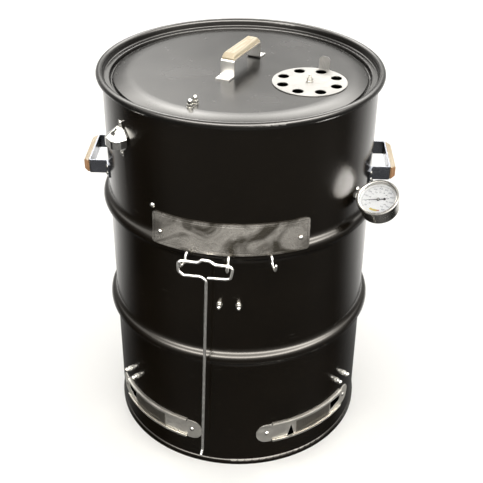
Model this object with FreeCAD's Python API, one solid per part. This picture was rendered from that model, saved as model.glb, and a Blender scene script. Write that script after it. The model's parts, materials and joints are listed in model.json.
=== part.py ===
"""Upright drum smoker: an open-head steel drum with a lift-off lid, vents, grates and a charcoal basket.

Millimetres, +Z up. The origin is on the drum's axis, at the foot of its bottom chime.
Azimuth is in degrees round +Z, from the front (-Y) towards +X. Each fitting is modelled at
the front of the drum, with +X along the wall and -Y outwards, and then turned to its azimuth.
"""
import FreeCAD, Part
import math
import os

from FreeCAD import Vector

os.makedirs("parts", exist_ok=True)

# ---------------------------------------------------------------- driving dimensions
BODY_R = 287.0            # outside radius of the plain wall
SHEET = 1.2               # wall, bottom and lid sheet
CHIME_R = 290.5           # outside radius of the bottom chime
CHIME_H = 8.0             # height of the chime's cylindrical band
HOOP_Z = (310.0, 573.0)   # centres of the two rolling hoops
HOOP_RISE = 14.0          # how far a hoop stands out of the wall
HOOP_SLOPE = 60.0         # steepest slope on a hoop's flank, degrees
RIM_Z = 849.0             # centre of the rolled top rim
RIM_R = 3.0               # inside radius of the rolled top rim
BOTTOM_Z = 15.2           # upper face of the recessed bottom
RUN = 0.05                # running clearance on a radius
SLACK = 0.3               # clearance of a bolt in its hole

LID_TOP_Z = 845.0         # upper face of the lid's flat panel
LID_CURL_R = 7.5          # outside radius of the lid's rolled edge
LID_CURL_C = (291.5, 848.6)
LID_GROOVE_Z = 831.5
LID_LEDGE_Z = 840.2
LID_LEDGE_R = 284.0

VENT_AZ = 67.0            # azimuth of the exhaust vent on the lid
VENT_AT = 155.5           # its distance from the drum's axis
VENT_R = 76.0
VENT_HOLES = 8
VENT_PCR = 58.0           # pitch circle radius of the vent holes
VENT_HOLE_R = 11.4
VENT_FIRST = 21.8         # angle of the first hole from +X, degrees
VENT_TAB_H = 29.0
VENT_TAB_W = 24.0
VENT_T = 1.5
VENT_GAP = 0.3            # running gap under and over the damper

LID_HOOK_AZ = -21.5       # azimuth of the hook under the lid
LID_HOOK_STUDS = (201.0, 222.0)

LID_HANDLE_AT = (-0.3, 12.0)
LID_HANDLE_TURN = -22.0   # turn of the lid handle's long side from +Y, degrees
HANDLE_SPAN = 127.0       # outside to outside of a handle's legs
HANDLE_W = 30.0
HANDLE_T = 3.0
FOOT = 24.0               # length of a handle's foot
LID_HANDLE_H = 36.0
SIDE_HANDLE_H = 34.6
SIDE_HANDLE_Z = 642.0
SIDE_HANDLE_AZ = (-88.0, 92.0)
FOOT_BOLT_RISE = 7.5      # half the height between a side foot's two bolts
GRIP_T = 12.5
GRIP_W = 27.0
GRIP_HALF = 62.5          # half the grip's length
GRIP_END_T = 4.0          # thickness left at the grip's ends
GRIP_SLOPE = 9.0          # length of the slope at each end
GRIP_CHAMFER = 3.5
GRIP_SCREW_X = (-35.0, 35.0)
GRIP_SCREW_R = 2.1
LID_SCREW_R = 2.5         # the lid handle's foot screws
LID_FOOT_HOLES = [(side * (HANDLE_SPAN / 2 + 12.0), y) for side in (-1, 1) for y in (-8.0, 8.0)]

BOLT_R = 3.15
NUT_AF = 11.1
GRATE_BOLT_AZ = (-33.0, 61.0, 147.0, -123.0)
GRATE_BOLT_Z = 648.0
GRATE_PEG_R = 262.0       # inner end of the pegs that carry the cooking grate
LOWER_BRACKET_AZ = (0.0, 120.0, -120.0)
LOWER_BRACKET_Z = 448.0
LOWER_BOLT_STEP = 3.9     # half the angle between a bracket's two bolts
BASKET_BRACKET_AZ = (-53.3, 59.0, 183.0)
BASKET_BRACKET_Z = 158.0
BASKET_BOLT_STEP = 3.2
BRACKET_T = 3.0
LOWER_REACH = 26.0        # how far each kind of shelf stands in from the wall
BASKET_REACH = 86.0

PLATE_HALF = 32.0         # half the nameplate's angle
PLATE_Z = (576.5, 638.5)
PLATE_LOW_R = 301.4       # inner radius of the plate at its lower edge, on the hoop's crest
PLATE_HIGH_R = 287.6      # inner radius at its upper edge, against the wall
PLATE_T = 1.5
PLATE_SCREW_AZ = 28.0
PLATE_SCREW_Z = 601.5

HOOK_AZ = (-16.0, 0.0, 16.0)
HOOK_WIRE_R = 2.5
HOOK_CUP_R = 322.0        # radius at which a tool hangs in a hook

INTAKE_AZ = 40.4          # centre azimuth of each air intake
INTAKE_END = 23.2         # angle from the centre to the round ends' centres
INTAKE_Z = 86.7
INTAKE_R = 25.0           # half the plate's height
TRACK_END = 20.6          # angle from the centre to the ends of the track
SHUTTER_AZ = (31.4, 51.4)
SHUTTER_HALF_H = 23.0
SHUTTER_GROOVES = 13
INTAKE_SHEET = 1.2
BASE_R = BODY_R + 0.05    # inner radii of the plate, the shutter and the track's lips
SHUTTER_R = BASE_R + INTAKE_SHEET + 0.35
LIP_R = SHUTTER_R + INTAKE_SHEET + 0.6

OPENER_AZ = -50.0
OPENER_Z = 766.0          # height of the opener's middle
OPENER_T = 2.5
HOOD_HALF = 24.0          # half the hood's width
HOOD_DEPTH = 31.0         # how far the hood stands out
NECK_HALF = 8.5
NECK_DEPTH = 5.0

THERMO_AZ = 61.05
THERMO_Z = 633.0
THERMO_AT = 336.0         # radius of the case's middle
THERMO_TIP = 225.0        # inner end of the probe
THERMO_TURN = 61.4        # how far the dial's face is turned up from facing along the wall
CASE_R = 40.0
CASE_BACK = -22.0         # back of the case, measured along its axis from the stem
CASE_SHEET = 1.4
BEZEL_R = 43.3
DIAL_R = 38.4
DIAL_Z = 8.2              # printed face of the dial
STEM_R = 3.0
NEEDLE_LENGTH = 25.0
NEEDLE_TAIL = 13.0        # distance of the counterweight
NEEDLE_AT = 112.0         # the needle's direction at rest, round the dial's axis

GRATE_R = 273.0           # centre radius of the cooking grates' rim wire
GRATE_WIRE_R = 3.0
GRATE_ROD_R = 2.25
GRATE_HANDLE_X = 205.0
BASKET_R = 215.0
BASKET_H = 150.0
BASKET_SHEET = 2.0
PAN_R = 225.0
PAN_H = 30.0

TOOL_AZ = -8.0
TOOL_WIRE_R = 3.0
TOOL_BAR_Z = 564.8        # height of the handle's upper bar

ORIGIN = Vector(0, 0, 0)
X_AXIS = Vector(1, 0, 0)
Y_AXIS = Vector(0, 1, 0)
Z_AXIS = Vector(0, 0, 1)


# ---------------------------------------------------------------- geometry helpers
def save(name, *solids):
    """Write one sub-part. Separate pieces of the same kind go in as a group of solids."""
    shape = solids[0] if len(solids) == 1 else Part.makeCompound(list(solids))
    shape.exportStep(f"parts/{name}.step")


def turned(shape, azimuth, axis=Z_AXIS):
    """A copy of the shape, turned about an axis through the origin."""
    copy = shape.copy()
    copy.rotate(ORIGIN, axis, azimuth)
    return copy


def moved(shape, x=0.0, y=0.0, z=0.0):
    copy = shape.copy()
    copy.translate(Vector(x, y, z))
    return copy


def outward(shape, azimuth, radius, height):
    """Turn a shape made along +Z so that it points out of the wall at a place on it."""
    return turned(moved(turned(shape, 90, X_AXIS), 0, -radius, height), azimuth)


def cylinder(radius, low, high, axis=Z_AXIS, x=0.0, y=0.0):
    return Part.makeCylinder(radius, high - low, Vector(x, y, 0) + axis * low, axis)


def box(x0, x1, y0, y1, z0, z1):
    return Part.makeBox(x1 - x0, y1 - y0, z1 - z0, Vector(x0, y0, z0))


def rounded_wire(points, radii):
    """Straight runs through the points, with a tangent arc at each inner point."""
    if not isinstance(radii, (list, tuple)):
        radii = [radii] * (len(points) - 2)
    edges = []
    start = points[0]
    for before, corner, after, radius in zip(points, points[1:], points[2:], radii):
        back = (before - corner).normalize()
        ahead = (after - corner).normalize()
        half = back.getAngle(ahead) / 2
        reach = radius / math.tan(half)
        middle = (back + ahead).normalize()
        arc_start = corner + back * reach
        arc_end = corner + ahead * reach
        arc_mid = corner + middle * (radius / math.sin(half) - radius)
        if (arc_start - start).Length > 1e-4:
            edges.append(Part.LineSegment(start, arc_start).toShape())
        edges.append(Part.Arc(arc_start, arc_mid, arc_end).toShape())
        start = arc_end
    edges.append(Part.LineSegment(start, points[-1]).toShape())
    return Part.Wire(edges)


def polar(centre, radius, angle):
    """A point in the XZ plane at an angle from +X."""
    a = math.radians(angle)
    return Vector(centre[0] + radius * math.cos(a), 0, centre[1] + radius * math.sin(a))


def arc(centre, radius, start, end):
    """An arc in the XZ plane, from one angle to another."""
    points = [polar(centre, radius, angle) for angle in (start, (start + end) / 2, end)]
    return Part.Arc(*points).toShape()


def sheet_face(wire, thickness):
    """Cross-section of a sheet to the left of a line in the XZ plane, or to its right if negative."""
    start, end = [vertex.Point for vertex in wire.OrderedVertexes[:2]]
    left = Y_AXIS.cross(end - start).normalize() * -1
    inside = Part.Vertex((start + end) / 2 + left * (thickness / 2))
    for side in (thickness, -thickness):
        face = wire.makeOffset2D(side, fill=True, openResult=True).Faces[0]
        if face.distToShape(inside)[0] < abs(thickness) / 4:
            return face
    raise ValueError("the line's first run must be straight")


def spun(face, angle=360.0):
    return face.revolve(ORIGIN, Z_AXIS, angle)


def polygon_face(points):
    return Part.Face(Part.makePolygon(list(points) + [points[0]]))


def sector(r_in, r_out, z_low, z_high, az_low, az_high):
    """Part of a ring round the drum's axis."""
    corners = [(r_in, z_low), (r_out, z_low), (r_out, z_high), (r_in, z_high)]
    face = polygon_face([Vector(0, -r, z) for r, z in corners])
    return spun(turned(face, az_low), az_high - az_low)


def window(corners, r_in=270.0, r_out=305.0):
    """A cutter whose corners, given as azimuth and height, run straight out from the axis."""
    rings = []
    for radius in (r_in, r_out):
        points = [turned_point(radius, az, z) for az, z in corners]
        rings.append(Part.makePolygon(points + [points[0]]))
    return Part.makeLoft(rings, True, True)


def turned_point(radius, azimuth, height):
    a = math.radians(azimuth)
    return Vector(radius * math.sin(a), -radius * math.cos(a), height)


def swept(wire, radius):
    """A round wire of constant radius along a path."""
    start = wire.OrderedVertexes[0].Point
    direction = wire.OrderedEdges[0].tangentAt(wire.OrderedEdges[0].FirstParameter)
    ring = Part.Wire([Part.makeCircle(radius, start, direction)])
    return wire.makePipeShell([ring], True, False)


# ---------------------------------------------------------------- fasteners, made along +Z
def hexagon(across_flats, height):
    corner = across_flats / math.sqrt(3)
    points = [Vector(corner * math.cos(math.radians(a)), corner * math.sin(math.radians(a)), 0)
              for a in range(0, 360, 60)]
    prism = polygon_face(points).extrude(Vector(0, 0, height))
    chamfer = Part.makeCone(corner * 2.0, corner * 0.9, height * 3.0, Vector(0, 0, -height * 2.0))
    return prism.common(chamfer)


def hex_nut(bore=BOLT_R + RUN, across_flats=NUT_AF, height=5.5):
    return hexagon(across_flats, height).cut(cylinder(bore, -1, height + 1))


def acorn_nut(bore=BOLT_R + RUN):
    """A hexagon with a domed cap over the bolt's end, on a washer face."""
    washer, flats, neck, dome = 1.2, 7.0, 12.2, 4.8
    body = cylinder(6.6, 0, washer)
    body = body.fuse(moved(hexagon(NUT_AF, flats - washer), z=washer))
    body = body.fuse(cylinder(dome, washer, neck))
    body = body.fuse(Part.makeSphere(dome, Vector(0, 0, neck)))
    return body.cut(cylinder(bore, -1, neck)).removeSplitter()


def dome_screw(length, radius=BOLT_R, head_r=5.6, head_h=3.2):
    """A domed head above z = 0 and a plain shank below it."""
    ball = (head_r ** 2 + head_h ** 2) / (2 * head_h)
    head = Part.makeSphere(ball, Vector(0, 0, head_h - ball))
    head = head.common(cylinder(head_r + 1, 0, head_h + 1))
    return head.fuse(cylinder(radius, -length, 0.5)).removeSplitter()


def hex_bolt(length, radius=BOLT_R, across_flats=NUT_AF, head_h=4.5):
    """A hexagon head above z = 0 and a plain shank below it."""
    return hexagon(across_flats, head_h).fuse(cylinder(radius, -length, 0.5)).removeSplitter()


# ---------------------------------------------------------------- drum
def hoop_edges(z_mid):
    """One rolling hoop's outline, bottom to top: two equal S bends that meet on the crest."""
    slope = math.radians(HOOP_SLOPE)
    bend = HOOP_RISE / (2 * (1 - math.cos(slope)))
    half = 2 * bend * math.sin(slope)
    foot_c = BODY_R + bend
    crest_c = BODY_R + HOOP_RISE - bend
    return [arc((foot_c, z_mid - half), bend, 180, 180 - HOOP_SLOPE),
            arc((crest_c, z_mid), bend, -HOOP_SLOPE, HOOP_SLOPE),
            arc((foot_c, z_mid + half), bend, 180 + HOOP_SLOPE, 180)]


def wall_outline():
    """The outside of the wall, from the chime up and round the rolled rim."""
    edges = []
    z = CHIME_H / 2
    for hoop_z in HOOP_Z:
        bends = hoop_edges(hoop_z)
        low = bends[0].Vertexes[0].Point
        edges.append(Part.LineSegment(Vector(BODY_R, 0, z), low).toShape())
        edges.extend(bends)
        z = bends[-1].Vertexes[-1].Point.z
    edges.append(Part.LineSegment(Vector(BODY_R, 0, z), Vector(BODY_R, 0, RIM_Z)).toShape())
    rim = (BODY_R + RIM_R, RIM_Z)
    edges.append(arc(rim, RIM_R, 180, 0))
    edges.append(arc(rim, RIM_R, 0, -100))
    return Part.Wire(edges)


def chime():
    """The rolled seam at the foot, with a true cylindrical band to stand on."""
    inner = BODY_R - SHEET
    shoulder = 5.0
    outline = [Vector(inner, 0, 0), Vector(CHIME_R, 0, 0), Vector(CHIME_R, 0, CHIME_H)]
    bend = Part.Arc(outline[-1], Vector(BODY_R + 2.5, 0, CHIME_H + 3.1),
                    Vector(BODY_R, 0, CHIME_H + shoulder)).toShape()
    top = Vector(inner, 0, CHIME_H + shoulder)
    edges = [Part.LineSegment(a, b).toShape() for a, b in zip(outline, outline[1:])]
    edges += [bend, Part.LineSegment(Vector(BODY_R, 0, CHIME_H + shoulder), top).toShape()]
    edges.append(Part.LineSegment(top, outline[0]).toShape())
    return spun(Part.Face(Part.Wire(edges)))


def wall_bolt_places():
    """Azimuth, height and radius of every round hole through the plain wall."""
    places = [(az, GRATE_BOLT_Z, BOLT_R) for az in GRATE_BOLT_AZ]
    places += [(az, z, BOLT_R) for az, z in bracket_bolt_places()]
    places += [(az, z, BOLT_R) for az, z in side_handle_bolt_places()]
    places += [(az, INTAKE_Z, BOLT_R) for az in intake_screw_azimuths()]
    places += [(side * PLATE_SCREW_AZ, PLATE_SCREW_Z, BOLT_R) for side in (-1, 1)]
    places += [(OPENER_AZ, z, BOLT_R) for z in opener_screw_heights()]
    places += [(az, HOOP_Z[1], HOOK_WIRE_R) for az in HOOK_AZ]
    places.append((THERMO_AZ, THERMO_Z, 7.0))
    return places


def drum_shell():
    wall = spun(sheet_face(wall_outline(), SHEET))
    wall = wall.fuse(chime())
    cutters = [outward(cylinder(radius + SLACK, -25, 20), az, BODY_R, z)
               for az, z, radius in wall_bolt_places()]
    for side in (-1, 1):
        cutters += [window([(side * az, z) for az, z in corners])
                    for corners in intake_windows(side)]
    return wall.cut(Part.makeCompound(cutters)).removeSplitter()


def drum_bottom():
    """The recessed bottom, whose turned-down flange stands inside the chime."""
    flange_r = BODY_R - SHEET - 0.1
    line = rounded_wire([Vector(0, 0, BOTTOM_Z), Vector(flange_r, 0, BOTTOM_Z),
                         Vector(flange_r, 0, 0.6)], 5.0)
    return spun(sheet_face(line, -SHEET))


# ---------------------------------------------------------------- nameplate and hooks
def nameplate():
    """A plain curved plate that leans from the hoop's crest back to the wall."""
    low, high = PLATE_Z
    lean = (PLATE_HIGH_R - PLATE_LOW_R) / (high - low)
    corners = [(PLATE_LOW_R, low), (PLATE_HIGH_R, high)]
    outer = [(r + PLATE_T / math.cos(math.atan(lean)), z) for r, z in reversed(corners)]
    face = polygon_face([Vector(0, -r, z) for r, z in corners + outer])
    ring = spun(turned(face, -PLATE_HALF - 6), 2 * PLATE_HALF + 12)
    half = (PLATE_LOW_R - 6) * math.sin(math.radians(PLATE_HALF))
    frame = box(-half, half, -PLATE_LOW_R - 10, -200, low, high)
    along_y = [e for e in frame.Edges if abs(e.tangentAt(e.FirstParameter).y) > 0.9]
    plate = ring.common(frame.makeFillet(7.0, along_y))
    holes = [outward(cylinder(BOLT_R + SLACK, -5, 30), side * PLATE_SCREW_AZ, BODY_R, PLATE_SCREW_Z)
             for side in (-1, 1)]
    return plate.cut(Part.makeCompound(holes))


def plate_radius(z):
    """Radius of the nameplate's outer face at a height."""
    low, high = PLATE_Z
    share = (z - low) / (high - low)
    return PLATE_LOW_R + share * (PLATE_HIGH_R - PLATE_LOW_R) + PLATE_T


def nameplate_screws():
    head_r = plate_radius(PLATE_SCREW_Z) + 1.2
    screw = dome_screw(head_r - BODY_R + 9, head_r=5.0, head_h=3.0)
    return [outward(screw, side * PLATE_SCREW_AZ, head_r, PLATE_SCREW_Z) for side in (-1, 1)]


def inner_nuts(places):
    """Hexagon nuts on the inside of the wall."""
    nut = turned(hex_nut(), 180, X_AXIS)
    return [outward(nut, az, BODY_R - SHEET - 0.1, z) for az, z in places]


def hook():
    """A threaded wire hook: through the hoop's crest, down, out and up again."""
    z_top = HOOP_Z[1]
    z_cup = z_top - 14.0
    line = [(290.0, z_top), (308.0, z_top), (HOOK_CUP_R - 10, z_cup), (HOOK_CUP_R + 14, z_cup),
            (HOOK_CUP_R + 18, z_top + 1)]
    points = [Vector(r, 0, z) for r, z in line]
    wire = swept(rounded_wire(points, 8.0), HOOK_WIRE_R)
    return wire.fuse(Part.makeSphere(HOOK_WIRE_R, points[-1])).removeSplitter()


def tool_hooks():
    return [turned(hook(), az - 90) for az in HOOK_AZ]


def hook_nuts():
    nut = turned(hex_nut(HOOK_WIRE_R + RUN, 8.0, 4.0), 180, X_AXIS)
    crest_inside = BODY_R + HOOP_RISE - SHEET - 1.1
    return [outward(nut, az, crest_inside, HOOP_Z[1]) for az in HOOK_AZ]


# ---------------------------------------------------------------- handles
def strip(points, radii, width, thickness):
    """A bent flat strip: a line in the XZ plane, thickened and given a width along Y."""
    face = sheet_face(rounded_wire(points, radii), thickness)
    return moved(face, y=-width / 2).extrude(Vector(0, width, 0))


def handle_points(height, foot_points):
    """Half of the hat-shaped outline, from the foot's end up to the middle."""
    half = HANDLE_SPAN / 2
    right = foot_points + [Vector(half, 0, height), Vector(-half, 0, height)]
    left = [Vector(-p.x, 0, p.z) for p in reversed(foot_points)]
    return right + left


def handle_bracket(height, foot_points, hole_places):
    """Hat-shaped strip, made standing on z = 0 with its long side along X."""
    outline = handle_points(height, foot_points)
    bracket = strip(outline, [2.0, 5.0, 5.0, 2.0], HANDLE_W, HANDLE_T)
    holes = [cylinder(GRIP_SCREW_R + 0.1, height - 10, height + 10, x=x) for x in GRIP_SCREW_X]
    holes += hole_places
    return bracket.cut(Part.makeCompound(holes))


def handle_grip(height):
    """A wooden grip on the bracket's bridge, with sloping ends and chamfered long edges."""
    half, top = GRIP_HALF, GRIP_HALF - GRIP_SLOPE
    ends = [Vector(-half, 0, 0), Vector(half, 0, 0), Vector(half, 0, GRIP_END_T),
            Vector(top, 0, GRIP_T), Vector(-top, 0, GRIP_T), Vector(-half, 0, GRIP_END_T)]
    block = moved(polygon_face(ends), y=-GRIP_W / 2).extrude(Vector(0, GRIP_W, 0))
    long_top = [e for e in block.Edges
                if e.BoundBox.XLength > 80 and e.BoundBox.ZMin > GRIP_T - 0.1]
    block = block.makeChamfer(GRIP_CHAMFER, long_top)
    counterbore = 4.6
    holes = [cylinder(GRIP_SCREW_R + 0.1, -1, GRIP_T + 1, x=x) for x in GRIP_SCREW_X]
    holes += [cylinder(counterbore, GRIP_T - 2.2, GRIP_T + 1, x=x) for x in GRIP_SCREW_X]
    return moved(block.cut(Part.makeCompound(holes)), z=height)


def grip_screws(height):
    """Screws from under the bridge, with their ends sunk in the grip."""
    screw = turned(dome_screw(HANDLE_T + GRIP_T - 3.0, GRIP_SCREW_R, 4.0, 2.2), 180, X_AXIS)
    return [moved(screw, x=x, z=height - HANDLE_T) for x in GRIP_SCREW_X]


def side_foot_points():
    """Foot of a side handle: it follows the wall, which falls away from the handle's middle."""
    half = HANDLE_SPAN / 2
    points = []
    for x in (half + FOOT, half):
        drop = BODY_R - math.sqrt(BODY_R ** 2 - x ** 2)
        points.append(Vector(x, 0, HANDLE_T + 0.4 - drop))
    return points


def foot_angle():
    """Azimuth from a side handle's middle to the middle of its foot."""
    return math.degrees(math.asin((HANDLE_SPAN / 2 + FOOT / 2 + 1) / BODY_R))


def side_handle_bolt_places():
    return [(az + side * foot_angle(), SIDE_HANDLE_Z + rise)
            for az in SIDE_HANDLE_AZ for side in (-1, 1) for rise in (-FOOT_BOLT_RISE, FOOT_BOLT_RISE)]


def on_side(shape, azimuth):
    """Stand a handle, made on z = 0, against the wall."""
    return turned(moved(turned(shape, 90, X_AXIS), 0, -BODY_R, SIDE_HANDLE_Z), azimuth)


def side_handle_bracket(azimuth):
    bare = on_side(handle_bracket(SIDE_HANDLE_H, side_foot_points(), []), azimuth)
    holes = [outward(cylinder(BOLT_R + SLACK, -12, 6), az, BODY_R, z)
             for az, z in side_handle_bolt_places()]
    return bare.cut(Part.makeCompound(holes))


def side_handle_bolts():
    bolt = dome_screw(11.0 + HANDLE_T, head_r=5.4, head_h=2.8)
    return [outward(bolt, az, BODY_R + HANDLE_T + 0.7, z) for az, z in side_handle_bolt_places()]


def on_lid(shape):
    """Put a lid fitting, made on z = 0 about the handle's middle, on the lid's panel."""
    x, y = LID_HANDLE_AT
    return moved(turned(shape, 90 + LID_HANDLE_TURN), x, y, LID_TOP_Z)


def lid_handle_bracket():
    half = HANDLE_SPAN / 2
    foot = [Vector(half + FOOT, 0, HANDLE_T), Vector(half, 0, HANDLE_T)]
    holes = [cylinder(LID_SCREW_R + SLACK, -5, 6, x=x, y=y) for x, y in LID_FOOT_HOLES]
    return on_lid(handle_bracket(LID_HANDLE_H, foot, holes))


def lid_handle_screws():
    screw = dome_screw(HANDLE_T + SHEET + 6.0, LID_SCREW_R, 4.2, 2.2)
    return [on_lid(moved(screw, x, y, HANDLE_T)) for x, y in LID_FOOT_HOLES]


def lid_handle_nuts():
    nut = turned(hex_nut(LID_SCREW_R + RUN, 8.0, 4.0), 180, X_AXIS)
    return [on_lid(moved(nut, x, y, -SHEET)) for x, y in LID_FOOT_HOLES]


# ---------------------------------------------------------------- lid and exhaust vent
def lid_outline():
    """Upper side of the lid: flat panel, sloping shoulder, groove, ledge, wall and rolled edge."""
    points = [(0.0, LID_TOP_Z), (243.5, LID_TOP_Z), (264.0, 837.2), (266.0, LID_GROOVE_Z),
              (269.0, LID_GROOVE_Z), (271.5, LID_LEDGE_Z), (LID_LEDGE_R, LID_LEDGE_Z),
              (LID_LEDGE_R, LID_CURL_C[1])]
    panel = rounded_wire([Vector(r, 0, z) for r, z in points], [100.0, 1.5, 1.5, 1.5, 2.0, 3.0])
    curl = [arc(LID_CURL_C, LID_CURL_R, 180, 0), arc(LID_CURL_C, LID_CURL_R, 0, -50)]
    return Part.Wire(panel.OrderedEdges + curl)


def vent_centre():
    return turned_point(VENT_AT, VENT_AZ, 0)


def vent_holes(radius, z_low, z_high):
    centre = vent_centre()
    cutters = []
    for index in range(VENT_HOLES):
        angle = math.radians(VENT_FIRST + index * 360 / VENT_HOLES)
        cutters.append(cylinder(radius, z_low, z_high, x=centre.x + VENT_PCR * math.cos(angle),
                                y=centre.y + VENT_PCR * math.sin(angle)))
    return cutters


def lid_panel():
    lid = spun(sheet_face(lid_outline(), -SHEET))
    centre = vent_centre()
    cutters = vent_holes(VENT_HOLE_R, 820, 860)
    cutters.append(cylinder(BOLT_R + SLACK, 820, 860, x=centre.x, y=centre.y))
    cutters += [on_lid(cylinder(LID_SCREW_R + SLACK, -10, 10, x=x, y=y)) for x, y in LID_FOOT_HOLES]
    for radius in LID_HOOK_STUDS:
        place = turned_point(radius, LID_HOOK_AZ, 0)
        cutters.append(cylinder(BOLT_R + SLACK, 820, 860, x=place.x, y=place.y))
    return lid.cut(Part.makeCompound(cutters))


def vent_disc():
    """Round damper with the lid's own hole pattern and a bent-up tab on its rim."""
    centre = vent_centre()
    low = LID_TOP_Z + VENT_GAP
    disc = cylinder(VENT_R, low, low + VENT_T, x=centre.x, y=centre.y)
    tab = box(0, VENT_TAB_H, -VENT_TAB_W / 2, VENT_TAB_W / 2, 0, VENT_T)
    tip = [e for e in tab.Edges if e.BoundBox.ZLength > VENT_T - 0.1 and e.BoundBox.XMin > VENT_TAB_H - 1]
    tab = tab.makeFillet(8.5, tip)
    upright = moved(turned(tab, -86, Y_AXIS), x=VENT_R - VENT_T + 0.2)
    upright = turned(upright, VENT_FIRST + 45.0)
    disc = disc.fuse(moved(upright, centre.x, centre.y, low))
    cutters = vent_holes(VENT_HOLE_R, low - 1, low + VENT_T + 1)
    cutters.append(cylinder(BOLT_R + RUN, low - 1, low + 5, x=centre.x, y=centre.y))
    return disc.cut(Part.makeCompound(cutters)).removeSplitter()


def vent_bolt():
    """Bolt from under the lid, with its end standing above the damper."""
    centre = vent_centre()
    bolt = turned(hex_bolt(SHEET + 17.0), 180, X_AXIS)
    return moved(bolt, centre.x, centre.y, LID_TOP_Z - SHEET)


def vent_nut():
    """Lock nut that holds the damper on its bolt, left a little slack."""
    centre = vent_centre()
    base = LID_TOP_Z + 2 * VENT_GAP + VENT_T
    nut = hex_nut(height=6.5).fuse(cylinder(4.6, 6.0, 9.0)).cut(cylinder(BOLT_R + RUN, -1, 10))
    washer = cylinder(7.5, 0, 1.2).cut(cylinder(BOLT_R + RUN, -1, 3))
    return moved(washer.fuse(moved(nut, z=1.2)).removeSplitter(), centre.x, centre.y, base)


def lid_hook():
    """Bent strip under the lid, for hanging the lid on the drum's rim."""
    top = LID_TOP_Z - SHEET - 0.4
    points = [Vector(190, 0, top), Vector(233, 0, top), Vector(233, 0, top - 26), Vector(247, 0, top - 26)]
    bar = strip(points, [4.0, 4.0], 25.0, -HANDLE_T)
    holes = [cylinder(BOLT_R + SLACK, top - 10, top + 10, x=radius) for radius in LID_HOOK_STUDS]
    return turned(bar.cut(Part.makeCompound(holes)), LID_HOOK_AZ - 90)


def lid_hook_bolts():
    bolt = turned(hex_bolt(HANDLE_T + SHEET + 9.0), 180, X_AXIS)
    places = [turned_point(radius, LID_HOOK_AZ, 0) for radius in LID_HOOK_STUDS]
    return [moved(bolt, p.x, p.y, LID_TOP_Z - SHEET - HANDLE_T - 0.5) for p in places]


def lid_hook_nuts():
    places = [turned_point(radius, LID_HOOK_AZ, 0) for radius in LID_HOOK_STUDS]
    return [moved(acorn_nut(), p.x, p.y, LID_TOP_Z) for p in places]


# ---------------------------------------------------------------- air intakes
def intake_screw_azimuths():
    return [side * (INTAKE_AZ + end * INTAKE_END) for side in (-1, 1) for end in (-1, 1)]


def intake_windows(side):
    """Corners of the openings behind one intake, as azimuth and height on the right-hand side."""
    main = [(33.5, 71.0), (49.5, 71.0), (49.5, 102.5), (33.5, 102.5)]
    end = [(52.6, 77.5), (60.4, 83.0), (60.6, 97.0), (52.2, 101.5)]
    pointed = [(26.9, 66.5), (30.5, 66.5), (28.9, 98.0)]
    return [main, end, pointed] if side > 0 else [main, end]


def intake_base(side):
    """Curved plate with round ends, windows and a folded track along both long edges."""
    low, high = INTAKE_AZ - INTAKE_END, INTAKE_AZ + INTAKE_END
    z0, z1 = INTAKE_Z - INTAKE_R, INTAKE_Z + INTAKE_R
    plate = sector(BASE_R, BASE_R + INTAKE_SHEET, z0, z1, low, high)
    ring = sector(BASE_R, BASE_R + INTAKE_SHEET, z0 - 1, z1 + 1, low - 8, high + 8)
    for az in (low, high):
        plate = plate.fuse(ring.common(outward(cylinder(INTAKE_R, -30, 30), az, BODY_R, INTAKE_Z)))
    t0, t1 = INTAKE_AZ - TRACK_END, INTAKE_AZ + TRACK_END
    for edge, inner in ((z1, -1), (z0, 1)):
        flange = sorted((edge, edge + inner * INTAKE_SHEET))
        lip = sorted((edge, edge + inner * 5.0))
        plate = plate.fuse(sector(BASE_R, LIP_R + INTAKE_SHEET, flange[0], flange[1], t0, t1))
        plate = plate.fuse(sector(LIP_R, LIP_R + INTAKE_SHEET, lip[0], lip[1], t0, t1))
        for start in (t0 - 0.4, t1):
            notch = sorted((edge - inner, edge + inner * 5.0))
            plate = plate.cut(sector(BASE_R - 1, LIP_R + 5, notch[0], notch[1], start, start + 0.4))
    cutters = [window(corners) for corners in intake_windows(side)]
    cutters += [outward(cylinder(BOLT_R + SLACK, -10, 10), az, BODY_R, INTAKE_Z) for az in (low, high)]
    plate = plate.cut(Part.makeCompound(cutters)).removeSplitter()
    return plate if side > 0 else plate.mirror(ORIGIN, X_AXIS)


def intake_shutter(side):
    """Curved slide inside the track, with a row of pressed finger grooves."""
    low, high = SHUTTER_AZ
    z0, z1 = INTAKE_Z - SHUTTER_HALF_H, INTAKE_Z + SHUTTER_HALF_H
    slide = sector(SHUTTER_R, SHUTTER_R + INTAKE_SHEET, z0, z1, low, high)
    grooves = []
    first, step = 3.4, 1.1
    for index in range(SHUTTER_GROOVES):
        az = low + first + index * step
        grooves.append(sector(SHUTTER_R + INTAKE_SHEET - 0.5, SHUTTER_R + 5,
                              INTAKE_Z - 9, INTAKE_Z + 9, az, az + 0.4))
    slide = slide.cut(Part.makeCompound(grooves))
    return slide if side > 0 else slide.mirror(ORIGIN, X_AXIS)


def intake_screws():
    screw = dome_screw(11.0, head_r=5.4, head_h=2.8)
    return [outward(screw, az, BASE_R + INTAKE_SHEET + 0.1, INTAKE_Z) for az in intake_screw_azimuths()]


# ---------------------------------------------------------------- bottle opener
def opener_screw_heights():
    return (OPENER_Z + 32.0, OPENER_Z - 33.0)


def hood_outline(half_width, depth, corner, back, z):
    """A flat back with a rounded box standing out of it."""
    points = [Vector(-half_width, -back, z), Vector(-half_width, -back - depth, z),
              Vector(half_width, -back - depth, z), Vector(half_width, -back, z)]
    front = rounded_wire(points, corner)
    return Part.Wire(front.OrderedEdges + [Part.LineSegment(points[3], points[0]).toShape()])


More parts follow.
